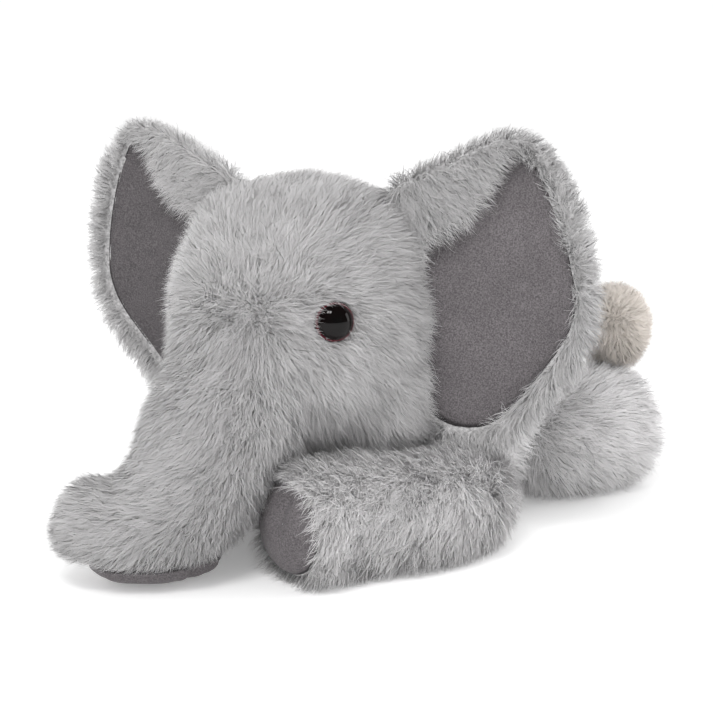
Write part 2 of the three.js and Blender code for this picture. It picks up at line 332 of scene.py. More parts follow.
def leaning(points, normals, lean, strength, seed, rng):
    """How far each strand leans over, in radians. Where the skin faces down it stands up more."""
    patch = drift(points, LEAN_PATCH, seed + 11)[:, 0]
    over = lean * (0.75 + 0.25 * strength) + patch * 0.26 + rng.normal(0, 0.16, len(points))
    over *= 1 - 0.7 * np.clip(-normals[:, 2], 0, 1)
    return np.clip(over, 0.1, 1.15)[:, None]


def bent_paths(points, normals, run, over, long, rng):
    """Each strand's path, as points at STEPS along it: it rises, bends over along its run, and curls."""
    s = STEPS[None, :, None]
    long = long[:, None, None]
    rise = normals[:, None, :] * (np.cos(over)[:, None, :] * (1.2 * s - 0.25 * s * s))
    reach = run[:, None, :] * (np.sin(over)[:, None, :] * (0.55 * s + 0.5 * s * s))
    paths = points[:, None, :] + (rise + reach - UP * SAG * s * s) * long
    curl = rng.normal(0, 0.075, (len(points), 2, 3)) * long
    return paths + (curl[:, :1] * np.sin(s * math.pi) + curl[:, 1:] * s * s)


def gathered(points, paths, gather, rng):
    """The paths with each strand drawn some of the way towards the leading strand of its clump."""
    n = len(points)
    leaders = rng.choice(n, max(1, n // CLUMP_STRANDS), replace=False)
    tree = KDTree(len(leaders))
    for i in leaders:
        tree.insert(points[i], int(i))
    tree.balance()
    lead = np.array([tree.find(p)[1] for p in points])
    gap = np.linalg.norm(points[lead] - points, axis=1)
    pull = (gather * rng.uniform(0.0, 1.0, n) * np.clip(1 - gap / CLUMP_REACH, 0, 1))[:, None, None]
    return paths + (paths[lead] - paths) * pull * STEPS[None, :, None] ** 1.3


def kept_above(points, paths, lowest, rng):
    """The paths with all but their roots kept above lowest(points), more or less."""
    limit = (lowest(points) + rng.uniform(0, RAGGED, len(points)))[:, None]
    paths[:, :, 2] = np.where(STEPS[None, :] > 0, np.maximum(paths[:, :, 2], limit), paths[:, :, 2])
    return paths


def pile(name, skin, material, length, flow, density, keep=None, lean=0.82, width=0.18 * MM,
         gather=0.28, lowest=None, seed=1):
    """Strands rooted on the skin, density to the square millimetre. length(points) is in metres,
    flow(points, normals) gives the way the nap runs, lean is how flat it lies in radians,
    keep(points, normals) says where it grows, gather how much it clumps, and lowest(points) how far down
    the strands may reach."""
    rng = np.random.default_rng(seed)
    points, normals = scatter(skin.data, density * DENSITY / (MM * MM), rng)
    if keep is not None:
        grown = keep(points, normals)
        points, normals = points[grown], normals[grown]
    n = len(points)
    run, strength = combed(points, normals, flow, seed, rng)
    long = length(points) * rng.uniform(0.65, 1.1, n)
    over = leaning(points, normals, lean, strength, seed, rng)
    paths = bent_paths(points, normals, run, over, long, rng)
    paths = gathered(points, paths, gather, rng)
    paths -= normals[:, None, :] * ROOT_DEPTH * (1 - STEPS[None, :, None])
    if lowest is not None:
        paths = kept_above(points, paths, lowest, rng)
    twist = rng.normal(0, 0.9, n)[:, None]
    facing = unit(normals * np.cos(twist) + np.cross(run, normals) * np.sin(twist))
    widths = width * rng.uniform(0.7, 1.3, n) / math.sqrt(DENSITY)
    patch = drift(points, SHADE_PATCH, seed + 3)[:, 1]
    shade = np.clip(0.5 + 0.2 * rng.normal(0, 1, n) + 0.16 * patch, 0.01, 0.99)
    made = []
    for k in range(0, n, PIECE_STRANDS):
        part = slice(k, k + PIECE_STRANDS)
        mesh = strand_mesh(name, paths[part], widths[part], facing[part], normals[part], shade[part])
        label = name if n <= PIECE_STRANDS else f"{name}_{k // PIECE_STRANDS + 1}"
        obj = new_object(label, mesh)
        obj.data.materials.append(material)
        made.append(obj)
    return made


# ---- materials ----
class Nodes:
    """A node material under construction."""

    def __init__(self, name, **sockets):
        self.material = bpy.data.materials.new(name)
        self.material.use_nodes = True
        self.tree = self.material.node_tree
        self.shader = self.tree.nodes["Principled BSDF"]
        for key, value in sockets.items():
            self.shader.inputs[key.replace("_", " ")].default_value = value

    def add(self, kind, links=None, **settings):
        node = self.tree.nodes.new("ShaderNode" + kind)
        for key, value in settings.items():
            if hasattr(node, key):
                setattr(node, key, value)
            else:
                node.inputs[key.replace("_", " ")].default_value = value
        for socket, source in (links or {}).items():
            self.tree.links.new(source, node.inputs[socket])
        return node

    def ramp(self, source, stops):
        node = self.add("ValToRGB", {"Fac": source})
        elements = node.color_ramp.elements
        while len(elements) > 1:
            elements.remove(elements[-1])
        elements[0].position, elements[0].color = stops[0]
        for position, colour in stops[1:]:
            elements.new(position).color = colour
        return node

    def link(self, source, socket):
        self.tree.links.new(source, self.shader.inputs[socket])


def tinted(value, tint):
    return (value * tint[0], value * tint[1], value * tint[2], 1.0)


def grey(value):
    return (value, value, value, 1.0)


def pile_material(name, tint, root, middle_tone, tip, spread):
    """Colour runs from the dark root to the pale tip, and each strand has its own tone."""
    n = Nodes(name, Roughness=0.62, Sheen_Weight=0.25, Sheen_Roughness=0.45)
    n.shader.inputs["Specular IOR Level"].default_value = 0.25
    uv = n.add("UVMap")
    uv.uv_map = "OFBake"
    split = n.add("SeparateXYZ", {"Vector": uv.outputs["UV"]})
    ramp = n.ramp(split.outputs["Y"], [(0.0, tinted(root, tint)), (0.45, tinted(middle_tone, tint)),
                                       (0.85, tinted(tip, tint)), (1.0, tinted(tip * 1.05, tint))])
    own = n.add("MapRange", {"Value": split.outputs["X"]})
    own.inputs["To Min"].default_value = 1 - spread
    own.inputs["To Max"].default_value = 1 + spread
    scale = n.add("VectorMath", {0: ramp.outputs["Color"], 1: own.outputs["Result"]}, operation="MULTIPLY")
    n.link(scale.outputs["Vector"], "Base Color")
    return n.material


COLOUR_A, COLOUR_B, COLOUR_OUT = 6, 7, 2       # the colour sockets of a Mix node
DARK_LINE = grey(0.3)
WHITE = grey(1)


def stitched(n, colour):
    """The colour times the pad's tone, which on the ear linings is painted shade, and a dark line where it
    is stitched down near its edge.
    """
    tone = n.add("Attribute", attribute_name="tone")
    ring = n.add("Attribute", attribute_name="ring")
    toned = n.add("VectorMath", {0: colour, 1: tone.outputs["Fac"]}, operation="MULTIPLY")
    line = n.ramp(ring.outputs["Fac"], [(0.0, WHITE), (0.955, WHITE), (0.975, DARK_LINE), (1.0, DARK_LINE)])
    lined = n.add("VectorMath", {0: toned.outputs["Vector"], 1: line.outputs["Color"]}, operation="MULTIPLY")
    return lined.outputs["Vector"]


def cloth_material(name, tone, tint, mottle_size, nap_size, bump, sheen, seam=False):
    """A short-napped cloth: cloudy brushed patches, fine nap and a soft sheen."""
    n = Nodes(name, Roughness=0.9, Sheen_Weight=sheen, Sheen_Roughness=0.4)
    n.shader.inputs["Specular IOR Level"].default_value = 0.2
    place = n.add("TexCoord")
    cloud = n.add("TexNoise", {"Vector": place.outputs["Object"]}, Scale=1 / mottle_size, Detail=4.0)
    nap = n.add("TexNoise", {"Vector": place.outputs["Object"]}, Scale=1 / nap_size, Detail=3.0)
    mix = n.add("Mix", {"Factor": cloud.outputs["Fac"]}, data_type="RGBA")
    mix.inputs[COLOUR_A].default_value = tinted(tone * 0.8, tint)
    mix.inputs[COLOUR_B].default_value = tinted(tone * 1.25, tint)
    grain = n.ramp(nap.outputs["Fac"], [(0.32, grey(0.6)), (0.68, grey(1.4))])
    grained = {0: mix.outputs[COLOUR_OUT], 1: grain.outputs["Color"]}
    colour = n.add("VectorMath", grained, operation="MULTIPLY").outputs["Vector"]
    n.link(stitched(n, colour) if seam else colour, "Base Color")
    ridge = n.add("Bump", {"Height": nap.outputs["Fac"]}, Strength=bump, Distance=0.4 * MM)
    n.link(ridge.outputs["Normal"], "Normal")
    return n.material


GREY_TINT = (1.0, 0.985, 0.99)
CREAM_TINT = (1.0, 0.93, 0.86)
SUEDE_TINT = (1.0, 0.92, 0.96)
grey_pile = pile_material("grey_pile", GREY_TINT, 0.56, 0.62, 0.68, 0.24)
painted_light_pile = pile_material("painted_light_pile", GREY_TINT, 0.68, 0.75, 0.82, 0.2)       # on the body and legs: a lighter copy of the grey pile, painted light for the brighter light that reaches them from behind and from the floor
cream_pile = pile_material("cream_pile", CREAM_TINT, 0.9, 0.93, 0.96, 0.06)
backing = cloth_material("grey_backing", 0.45, GREY_TINT, 9 * MM, 1.2 * MM, 0.6, 0.2)
cream_backing = cloth_material("cream_backing", 0.7, CREAM_TINT, 9 * MM, 1.2 * MM, 0.6, 0.2)
suede = cloth_material("grey_suede", 0.13, SUEDE_TINT, 14 * MM, 0.55 * MM, 0.5, 0.12, seam=True)

# ---- skins: the stuffed cloth under the pile ----
VOXEL = 2.4 * MM               # the grain of the large skins
LEG_VOXEL = 2.0 * MM
TUFT_VOXEL = 1.6 * MM
THIN_VOXEL = 1.2 * MM          # the grain of the ears and the tail
PILE_ROOM = 3.2 * MM           # how far each skin is drawn in, to leave room for its pile
FACE_ROOM = 2.2 * MM
LEG_ROOM = 1.8 * MM
EAR_ROOM = -0.4 * MM
TAIL_ROOM = 1.2 * MM
TUFT_ROOM = 2.5 * MM
HIP_HEIGHT = 30 * MM           # of the place inside the body that each leg's stuffing runs towards
HIP_WAD = 19 * MM
HIP_STEP = 6 * MM
# Balls of stuffing, ((x, y, z), radius) in mm from the head's middle: the bridge, the brows and the cheeks.
FACE_WADS = (((0, -30, -4), 27), ((0, -40, -8), 24), ((0, -36, 6), 18),
             ((22, 0, 23), 22), ((-22, 0, 23), 22), ((25, 3, -24), 23), ((-24, 3, -24), 22),
             ((19, -22, -14), 20), ((-19, -22, -14), 20))
FACE_NODES = ["head_cover", "head_stuffing", "trunk_cover", "trunk_lining", "trunk_stuffing"]
face = soft_skin("face_skin", FACE_NODES, VOXEL, 14, FACE_ROOM,
                 wads=[(HEAD + np.array(at) * MM, r * MM) for at, r in FACE_WADS])
torso = soft_skin("body_skin", ["body_cover", "body_stuffing"], VOXEL, 10, PILE_ROOM)
limbs = {}
for leg in LEGS:
    hinge = pivot(leg_joint(leg))
    inward = unit(middle("body_cover") * (1, 1, 0) + UP * HIP_HEIGHT - hinge)
    wads = [(hinge + inward * HIP_STEP * k, HIP_WAD - k * MM) for k in range(3)]
    limbs[leg] = soft_skin(f"{leg}_skin", [f"{leg}_cover", f"{leg}_stuffing", f"{leg}_sole"], LEG_VOXEL, 8,
                           LEG_ROOM, wads)
ear_backs = {side: soft_skin(f"{side}_ear_skin", [f"{side}_ear_back"], THIN_VOXEL, 9, EAR_ROOM)
             for side in SIDES}
tail = soft_skin("tail_skin", ["tail_cover"], THIN_VOXEL, 4, TAIL_ROOM)
tuft_core = soft_skin("tuft_skin", ["tail_tuft"], TUFT_VOXEL, 8, TUFT_ROOM)
for skin in [face, torso, tail, *limbs.values(), *ear_backs.values()]:
    skin.data.materials.append(backing)
tuft_core.data.materials.append(cream_backing)


# ---- suede pads: ear linings, soles and the trunk's underside ----
class Plane:
    """A flat place on the toy: u and v run across it and w points out of it."""

    def __init__(self, origin, u, w):
        self.origin = origin
        self.w = unit(w)
        self.u = along_surface(u, self.w)
        self.v = np.cross(self.w, self.u)

    def local(self, points):
        rel = points - self.origin
        return rel @ self.u, rel @ self.v, rel @ self.w

    def place(self, u, v, w):
        return self.origin + u[:, None] * self.u + v[:, None] * self.v + w[:, None] * self.w


OUTLINE_STEPS = 120
PAD_RINGS = 26
INNER_EDGE = 0.55              # corners nearer the middle than this share of the rim aren't on the rim
EASINGS = 8
STITCH_RING = 0.955            # where round a pad its stitching pulls it in, as a share of its reach
STITCH_WIDTH = 0.012
STITCH_DEPTH = 0.5 * MM
PAD_BACK = 0.2 * MM            # how far the back of a pad lies behind the node's


def outline_of(node, plane):
    """The node's outline on the plane: its middle, its reach at even steps round it with the corners
    eased, and its lowest and highest places off the plane."""
    u, v, w = plane.local(points_of(frame["nodes"][node].data))
    cu, cv = (u.min() + u.max()) / 2, (v.min() + v.max()) / 2
    angle = np.arctan2(v - cv, u - cu)
    reach = np.hypot(u - cu, v - cv)
    step = 2 * math.pi / OUTLINE_STEPS
    turn = -math.pi + step * np.arange(OUTLINE_STEPS)
    far = np.zeros(OUTLINE_STEPS)
    slot = np.round((angle + math.pi) / step).astype(int) % OUTLINE_STEPS
    np.maximum.at(far, slot, reach)
    rim = far > INNER_EDGE * np.interp(turn, turn[far > 0], far[far > 0], period=2 * math.pi)
    far = np.interp(turn, turn[rim], far[rim], period=2 * math.pi)
    for _ in range(EASINGS):
        far = (np.roll(far, 1) + 2 * far + np.roll(far, -1)) / 4
    return cu, cv, turn, far, w.min(), w.max()


def pad_faces(half):
    """The faces of a pad: its front, its back, whose corners come half later, and the edge between them."""
    faces = []
    for k in range(PAD_RINGS):
        for i in range(OUTLINE_STEPS):
            j = (i + 1) % OUTLINE_STEPS
            inner, outer = 1 + (k - 1) * OUTLINE_STEPS, 1 + k * OUTLINE_STEPS
            front = [inner + i, outer + i, outer + j, inner + j] if k else [0, outer + i, outer + j]
            faces.append(front)
            faces.append([half + corner for corner in reversed(front)])
    rim = 1 + (PAD_RINGS - 1) * OUTLINE_STEPS
    for i in range(OUTLINE_STEPS):
        j = (i + 1) % OUTLINE_STEPS
        faces.append([rim + i, half + rim + i, half + rim + j, rim + j])
    return faces


def pad(name, node, plane, shrink, swell, shape=None):
    """A suede pad over the node: its edge is tucked in all round, and its middle swells by so much.
    shape(u, v) gives an extra height, for a dimple or a fold."""
    cu, cv, turn, far, low, high = outline_of(node, plane)
    far = far - shrink
    share = np.sin(np.linspace(0, math.pi / 2, PAD_RINGS + 1))[1:]
    u = np.concatenate([[cu]] + [cu + far * r * np.cos(turn) for r in share])
    v = np.concatenate([[cv]] + [cv + far * r * np.sin(turn) for r in share])
    ring = np.concatenate([[0.0]] + [np.full(OUTLINE_STEPS, r) for r in share])
    rise = (1 - ring ** 9) ** 0.5 * (high - low) * 0.75 + (1 - ring ** 2) * swell
    extra = shape(u, v) if shape else np.zeros(len(u))
    stitch = STITCH_DEPTH * np.exp(-((ring - STITCH_RING) / STITCH_WIDTH) ** 2)
    front = plane.place(u, v, low + rise + extra - stitch)
    back = plane.place(u, v, low + extra - PAD_BACK)
    mesh = bpy.data.meshes.new(name)
    mesh.from_pydata([tuple(p) for p in np.concatenate([front, back])], [], pad_faces(len(front)))
    mesh.polygons.foreach_set("use_smooth", [True] * len(mesh.polygons))
    set_value(mesh, "ring", np.concatenate([ring, np.ones(len(back))]))
    set_value(mesh, "tone", np.ones(2 * len(front)))
    obj = new_object(name, mesh)
    obj.data.materials.append(suede)
    return obj


# ---- ears: both layers are cupped by the same gentle curve ----
class Ear:
    """One ear: u runs out from the head, v up or down, and w the way the lining faces. Its tip leans
    forward by tip_forward, and slim and low are the shares of its width and of its upper half's height
    that leave room for the pile."""

    REACH = 60 * MM            # from the root to the tip
    HOLLOW = 3.2 * MM          # how deep the middle is cupped
    HOLLOW_AT = 0.55           # where, as a share of the reach
    HOLLOW_WIDE = 0.3
    FOLD = 1.5 * MM            # how deep the fold is below the fur of the upper front
    FOLD_AT = (22 * MM, 34 * MM)
    FOLD_SLOPE = 0.7
    FOLD_WIDE = 6 * MM
    TUCK = 5 * MM              # how far the root is drawn in towards the head
    TUCK_WIDE = 8 * MM

    def __init__(self, side, tip_forward, slim, low):
        sign = 1.0 if side == "left" else -1.0
        lining = points_of(frame["nodes"][f"{side}_ear_lining"].data)
        front = np.linalg.svd(lining - lining.mean(0), full_matrices=False)[2][2]
        front = front if front[1] < 0 else -front
        self.origin = pivot(f"{side}_ear_flap")
        self.plane = Plane(self.origin, np.array([sign, 0, 0]), front)
        self.rise = 1 if self.plane.v[2] > 0 else -1        # which way along v is up
        self.tip_forward = tip_forward
        self.slim = slim
        self.low = low

    def height(self, u, v):
        """How far forward the cupped ear stands."""
        reach = np.clip(u / self.REACH, 0, 1.2)
        lean = self.tip_forward * reach ** 2
        hollow = -self.HOLLOW * np.exp(-((reach - self.HOLLOW_AT) / self.HOLLOW_WIDE) ** 2)
        above = (v * self.rise - self.FOLD_AT[1]) - (u - self.FOLD_AT[0]) * self.FOLD_SLOPE
        fold = -self.FOLD * np.exp(-(above / self.FOLD_WIDE) ** 2) * reach
        return lean + hollow + fold

    def cup(self, points):
        """The points carried by the ear's curve, and tucked in towards the head at the root."""
        u, v, w = self.plane.local(points)
        tuck = -self.TUCK * np.clip(1 - u / self.TUCK_WIDE, 0, 1.5)
        lowered = v * np.where(v * self.rise > 0, self.low, 1)
        return self.plane.place(u * self.slim + tuck, lowered, w + self.height(u, v))


LINING_SHRINK = 0.4 * MM
LINING_SWELL = 0.4 * MM
SHADE_LINE = 27 * MM           # how high up the lining the painted shade from the fold under the upper fur begins
SHADE_WIDE = 10 * MM
SHADE_DROP = 0.55
# Painted shade over each whole lining: the right one is painted darker all over, for the shade it lies in
# while facing away from the light.
LINING_PAINTED_SHADE = {"left": 1.0, "right": 0.75}
ears = {"left": Ear("left", 3.0 * MM, 0.955, 0.96), "right": Ear("right", -3.0 * MM, 0.95, 0.93)}
linings = {}
for side, ear in ears.items():
    linings[side] = pad(f"{side}_ear_lining_cloth", f"{side}_ear_lining", ear.plane, LINING_SHRINK,
                        LINING_SWELL)
    for layer in (linings[side], ear_backs[side]):
        set_points(layer.data, ear.cup(points_of(layer.data)))
    # Painted shade: each lining is darkened along its top, where the fold under the upper fur shades it.
    u, v, _ = ear.plane.local(points_of(linings[side].data))
    below = np.clip((SHADE_LINE + u - v * ear.rise) / SHADE_WIDE, 0, 9)
    set_value(linings[side].data, "tone", LINING_PAINTED_SHADE[side] * (1 - SHADE_DROP * np.exp(-below ** 2)))


# ---- soles and the trunk's underside ----
def sole_plane(leg):
    """The plane of a sole, facing away from the leg."""
    co = points_of(frame["nodes"][f"{leg}_sole"].data)
    thin = np.linalg.svd(co - co.mean(0), full_matrices=False)[2][2]
    away = co.mean(0) - middle(f"{leg}_cover")
    out = thin if thin @ away > 0 else -thin
    return Plane(co.mean(0), np.cross(UP, out), out)


DIMPLE_DEPTH = 1.8 * MM
DIMPLE_RADIUS = 5 * MM
DIMPLE_HEIGHT = 4 * MM         # above the sole's middle
CREASE_DEPTH = 1.5 * MM
CREASE_WIDTH = 1.6 * MM
CREASE_SLOPE = 0.35
CREASE_FADE = 9 * MM


def sole_crease(u, v):
    """A soft dimple above the sole's middle, with a fold running up from it."""
    dimple = np.exp(-(u ** 2 + (v - DIMPLE_HEIGHT) ** 2) / DIMPLE_RADIUS ** 2)
    fold = np.exp(-((u - CREASE_SLOPE * v) / CREASE_WIDTH) ** 2) * np.clip(v / CREASE_FADE, 0, 1)
    return -DIMPLE_DEPTH * dimple - CREASE_DEPTH * fold


FOOT_LONGER = 3 * MM           # how far a padded forefoot stands out past the flat sole
FOOT_EASE = 14 * MM            # the stretch of the leg that this lengthens
SOLE_SHRINK = 0.2 * MM
SOLE_SWELL = 5.0 * MM
soles = {}
foot_out = {}
for leg in LEGS:
    plane = sole_plane(leg)
    foot_out[leg] = plane.w
    longer = FOOT_LONGER if "fore" in leg else 0.0
    skin = points_of(limbs[leg].data)
    close = np.clip(1 + plane.local(skin)[2] / FOOT_EASE, 0, 1)
    set_points(limbs[leg].data, skin + plane.w * (longer * close)[:, None])
    soles[leg] = pad(f"{leg}_sole_cloth", f"{leg}_sole", plane, SOLE_SHRINK, SOLE_SWELL, sole_crease)
    set_points(soles[leg].data, points_of(soles[leg].data) + plane.w * longer)

UNDERSIDE_SHRINK = 1.0 * MM
UNDERSIDE_SWELL = 1.6 * MM
ALONG_TRUNK = np.array([0.72, 0.69, 0.0])      # the way the trunk's end runs back towards the head
UNDERSIDE_BACK = 6 * MM        # how far the underside is moved along it, and how much it is stretched
UNDERSIDE_STRETCH = 0.22
UNDERSIDE_LOWEST = 0.4 * MM
UNDERSIDE_THICKER = 1.35
under_plane = Plane(middle("trunk_lining"), np.array([1.0, 0, 0]), -UP)
underside = pad("trunk_underside_cloth", "trunk_lining", under_plane, UNDERSIDE_SHRINK, UNDERSIDE_SWELL)
suede_points = points_of(underside.data)
far_along = (suede_points - middle("trunk_lining")) @ ALONG_TRUNK
suede_points += ALONG_TRUNK * (UNDERSIDE_BACK + UNDERSIDE_STRETCH * far_along)[:, None]
suede_points[:, 2] = UNDERSIDE_LOWEST + suede_points[:, 2] * UNDERSIDE_THICKER
set_points(underside.data, suede_points)

TRUNK_BELOW = 8 * MM           # how far below and in front of the head's middle the trunk begins
TRUNK_AHEAD = 36 * MM
TRUNK_FADE_DOWN = 30 * MM      # and over what stretch it takes over
TRUNK_FADE_AHEAD = 14 * MM


def trunk_share(points):
    """Nought on the head, one on the trunk, with a soft change between them."""
    low = np.clip((HEAD[2] - TRUNK_BELOW - points[:, 2]) / TRUNK_FADE_DOWN, 0, 1)
    front = np.clip((HEAD[1] - TRUNK_AHEAD - points[:, 1]) / TRUNK_FADE_AHEAD, 0, 1)
    return low * front


SLIM_TRUNK = 2.0 * MM          # how much closer the cloth lies on the trunk than on the head
TRUNK_CLEARANCE = 12 * MM      # of its fur cloth above the floor
slimmed = points_of(face.data)
slimmed -= normals_of(face.data) * (SLIM_TRUNK * trunk_share(slimmed))[:, None]
slimmed[:, 2] = np.maximum(slimmed[:, 2], TRUNK_CLEARANCE * trunk_share(slimmed))
set_points(face.data, slimmed)

# ---- where the pile grows and which way it runs ----
trees = {"face": tree_of(face), "torso": tree_of(torso)}
lining_trees = {side: tree_of(linings[side]) for side in ears}
sole_trees = {leg: tree_of(soles[leg]) for leg in LEGS}
BURIED = 3.5 * MM              # no strand is rooted deeper than this inside another skin


def clear_of(names, points):
    """True where a point isn't buried in any of the named skins."""
    free = np.ones(len(points), bool)
    for name in names:
        free &= ~buried(trees[name], points, BURIED)
    return free


def near(tree, points, distance):
    return np.array([tree.find_nearest(p, distance)[0] is not None for p in points])


BRIDGE = HEAD + np.array([0.0, -46.0, 8.0]) * MM          # the middle of the face, between the eyes
PARTING = 14 * MM                                         # half the width of the parting there
PARTING_SOFT = 10 * MM                                    # how far from it the nap lies flat
EYES = {side: middle(f"{side}_eye") for side in ears}
RIGHT_EYE_DEEPER = 2 * MM      # the right eye sits deeper in the pile
TRUNK_TIP = np.array([*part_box("trunk_cover")[0][:2], 22 * MM])
FACE_LENGTHS = ([6 * MM, 12 * MM, 26 * MM], [6.5 * MM, 8.5 * MM, 11.0 * MM])      # from the eye outward
FORELOCK = EYES["right"] + np.array([12, -5, 3]) * MM     # a longer lock that falls over the right eye
FORELOCK_LONGER = 5 * MM
FORELOCK_RADIUS = 9 * MM
CHIN_BELOW = 22 * MM           # how far below the head's middle the chin's longer pile begins
CHIN_FADE = 14 * MM
CHIN_LONGER = 6 * MM
TRUNK_SHORTER = 2.0 * MM
FRINGE_HEIGHT = 8.5 * MM       # of the trunk's fringe above the floor, and how much higher at its tip
FRINGE_TIP = 5.0 * MM
FRINGE_REACH = 40 * MM
EYE_BARE = 7.4 * MM            # no strand is rooted nearer to the eye's middle


def face_flow(points, normals):
    """Away from a short parting between the eyes on the head, and down to the tip on the trunk."""
    aside = np.clip(points[:, 0] - BRIDGE[0], -PARTING, PARTING)
    parting = BRIDGE + np.stack([aside, 0 * aside, 0 * aside], -1)
    away = points - parting
    far = np.linalg.norm(away, axis=1, keepdims=True)
    spread = along_surface(away, normals) * np.clip(far / PARTING_SOFT, 0, 1)
    share = trunk_share(points)[:, None]
    down = along_surface(TRUNK_TIP - points, normals)
    return spread * (1 - share) + down * share * 1.3 + np.array([0, 0, -0.22])


def eye_distance(points):
    """How far each point is from the nearer eye."""
    left = np.linalg.norm(points - EYES["left"], axis=1)
    right = np.linalg.norm(points - EYES["right"], axis=1) + RIGHT_EYE_DEEPER
    return np.minimum(left, right)


def face_length(points):
    """Short round the eyes, longer over the right eye and at the chin, shorter down the trunk."""
    base = np.interp(eye_distance(points), *FACE_LENGTHS)
    base += FORELOCK_LONGER * np.exp(-(np.linalg.norm(points - FORELOCK, axis=1) / FORELOCK_RADIUS) ** 2)
    low = np.clip((HEAD[2] - CHIN_BELOW - points[:, 2]) / CHIN_FADE, 0, 1)
    share = trunk_share(points)
    return base - TRUNK_SHORTER * share + CHIN_LONGER * low * (1 - share)


def face_lowest(points):
    """The fringe of the trunk ends above its suede underside."""
    tip = np.clip(1 - np.linalg.norm((points - TRUNK_TIP)[:, :2], axis=1) / FRINGE_REACH, 0, 1)
    return np.where(trunk_share(points) > 0.5, FRINGE_HEIGHT + FRINGE_TIP * tip, FLOOR_GAP)


def face_keep(points, normals):
    """Not inside the body, under the eyes' domes or on the trunk's underside."""
    low = points[:, 2] < TRUNK_CLEARANCE + 0.5 * MM
    underneath = low & (trunk_share(points) > 0.5) & (normals[:, 2] < -0.5)
    return clear_of(["torso"], points) & (eye_distance(points) > EYE_BARE) & ~underneath


def torso_keep(points, normals):
    """Not inside the head, or where the body lies on the floor."""
    return clear_of(["face"], points) & (normals[:, 2] > -0.85)


def torso_flow(points, normals):
    return np.array([0.0, 1.0, -0.35]) + normals * 0


def leg_flow(leg):
    def flow(points, normals):
        return foot_out[leg] + np.array([0, 0, -0.3]) + normals * 0
    return flow


def leg_keep(leg):
    """Not inside the body or head, or under the sole."""
    def keep(points, normals):
        on_sole = near(sole_trees[leg], points, 2.5 * MM) & (normals @ foot_out[leg] > 0.5)
        return clear_of(["torso", "face"], points) & ~on_sole
    return keep


def ear_flow(side):
    """Out along the ear and a little down over the lining, and away from its middle at the rim."""
    ear = ears[side]

    def flow(points, normals):
        u, v, _ = ear.plane.local(points)
        away = unit(points - middle(f"{side}_ear_lining"))
        outer = np.clip((u - 32 * MM) / (16 * MM), 0, 1)
        lower = np.clip((-v * ear.rise - 28 * MM) / (10 * MM), 0, 1)
        rim = np.minimum(outer + lower, 1)[:, None]
        return away * rim + (ear.plane.u * 0.85 - UP * 0.4) * (1 - rim) - UP * 0.1
    return flow


def ear_keep(side):
    """Not inside the head or under the lining."""
    ear = ears[side]

    def keep(points, normals):
        covered = near(lining_trees[side], points, 0.9 * MM) & (normals @ ear.plane.w > 0.2)
        return clear_of(["face"], points) & ~covered
    return keep


def ear_length(side):
    """Longest at the root, and shorter along the top."""
    ear = ears[side]

    def length(points):
        u, v, _ = ear.plane.local(points)
        high = np.clip((v * ear.rise - 38 * MM) / (16 * MM), 0, 1)
        return np.interp(u, [0, 25 * MM, 60 * MM], [10 * MM, 9 * MM, 8 * MM]) - 2.5 * MM * high
    return length


def steady(value):
    return lambda points: np.full(len(points), value)


def tail_flow(points, normals):
    return middle("tail_tuft") - points


def tuft_flow(points, normals):
    return points - pivot("tail_swing") + np.array([0, 0, -0.01])


BODY_PILE = 11 * MM            # lengths of the steady piles
LEG_PILE = 10 * MM
TAIL_PILE = 6 * MM
TUFT_PILE = 9 * MM
piles = {}
piles["face"] = pile("face_fur", face, grey_pile, face_length, face_flow, keep=face_keep, density=6.5,
                     lowest=face_lowest, seed=11)
# The body and legs wear the lighter copy of the grey pile, whose extra lightness is painted light.
piles["torso"] = pile("body_fur", torso, painted_light_pile, steady(BODY_PILE), torso_flow, keep=torso_keep,
                      density=2.6, seed=23)
for k, leg in enumerate(LEGS):
    density, width = (5.5, 0.18 * MM) if leg == "left_foreleg" else (3.8, 0.21 * MM)
    piles[leg] = pile(f"{leg}_fur", limbs[leg], painted_light_pile, steady(LEG_PILE), leg_flow(leg),
                      keep=leg_keep(leg), density=density, width=width, lean=0.9, seed=31 + k)
for k, side in enumerate(ears):
    piles[f"{side}_ear"] = pile(f"{side}_ear_fur", ear_backs[side], grey_pile, ear_length(side),
                                ear_flow(side), keep=ear_keep(side), density=5.5, seed=41 + k)
piles["tail"] = pile("tail_fur", tail, grey_pile, steady(TAIL_PILE), tail_flow, density=5.0, seed=51)
piles["tuft"] = pile("tail_tuft_fur", tuft_core, cream_pile, steady(TUFT_PILE), tuft_flow, density=18.0,
                     lean=0.75, width=0.15 * MM, gather=0.1, seed=52)


# ---- eyes ----
EYE_BLACK = (0.004, 0.004, 0.004, 1)
EYE_IRIS = (0.005, 0.003, 0.003, 1)
EYE_RING_INNER = (0.09, 0.01, 0.018, 1)
EYE_RING_OUTER = (0.1, 0.011, 0.02, 1)
EYE_RIM = (0.006, 0.003, 0.003, 1)
DOME_AROUND = 48
DOME_RINGS = 18


def eye_material():
    """Black glossy plastic with a thin dark red ring near its edge."""
    n = Nodes("eye_plastic", Roughness=0.05, IOR=1.3)
    ring = n.add("Attribute", attribute_name="ring")
    ramp = n.ramp(ring.outputs["Fac"], [(0.0, EYE_BLACK), (0.84, EYE_IRIS), (0.88, EYE_RING_INNER),
                                        (0.94, EYE_RING_OUTER), (0.97, EYE_RIM), (1.0, EYE_BLACK)])
    n.link(ramp.outputs["Color"], "Base Color")
    return n.material


def dome_size(node, out):
    """The middle of an eye's dome, its radius, and how far out its flat back and its top lie."""
    depth = (node - HEAD) @ out
    wide = np.linalg.norm((node - HEAD) - depth[:, None] * out, axis=1)
    centre = (node[wide > wide.max() * 0.98] - HEAD).mean(0) + HEAD
    off_axis = np.linalg.norm(np.cross(node - centre, out), axis=1)
    radius = off_axis.max()
    high = (node - centre) @ out
    return centre, radius, high[off_axis > radius * 0.9].min(), high.max()


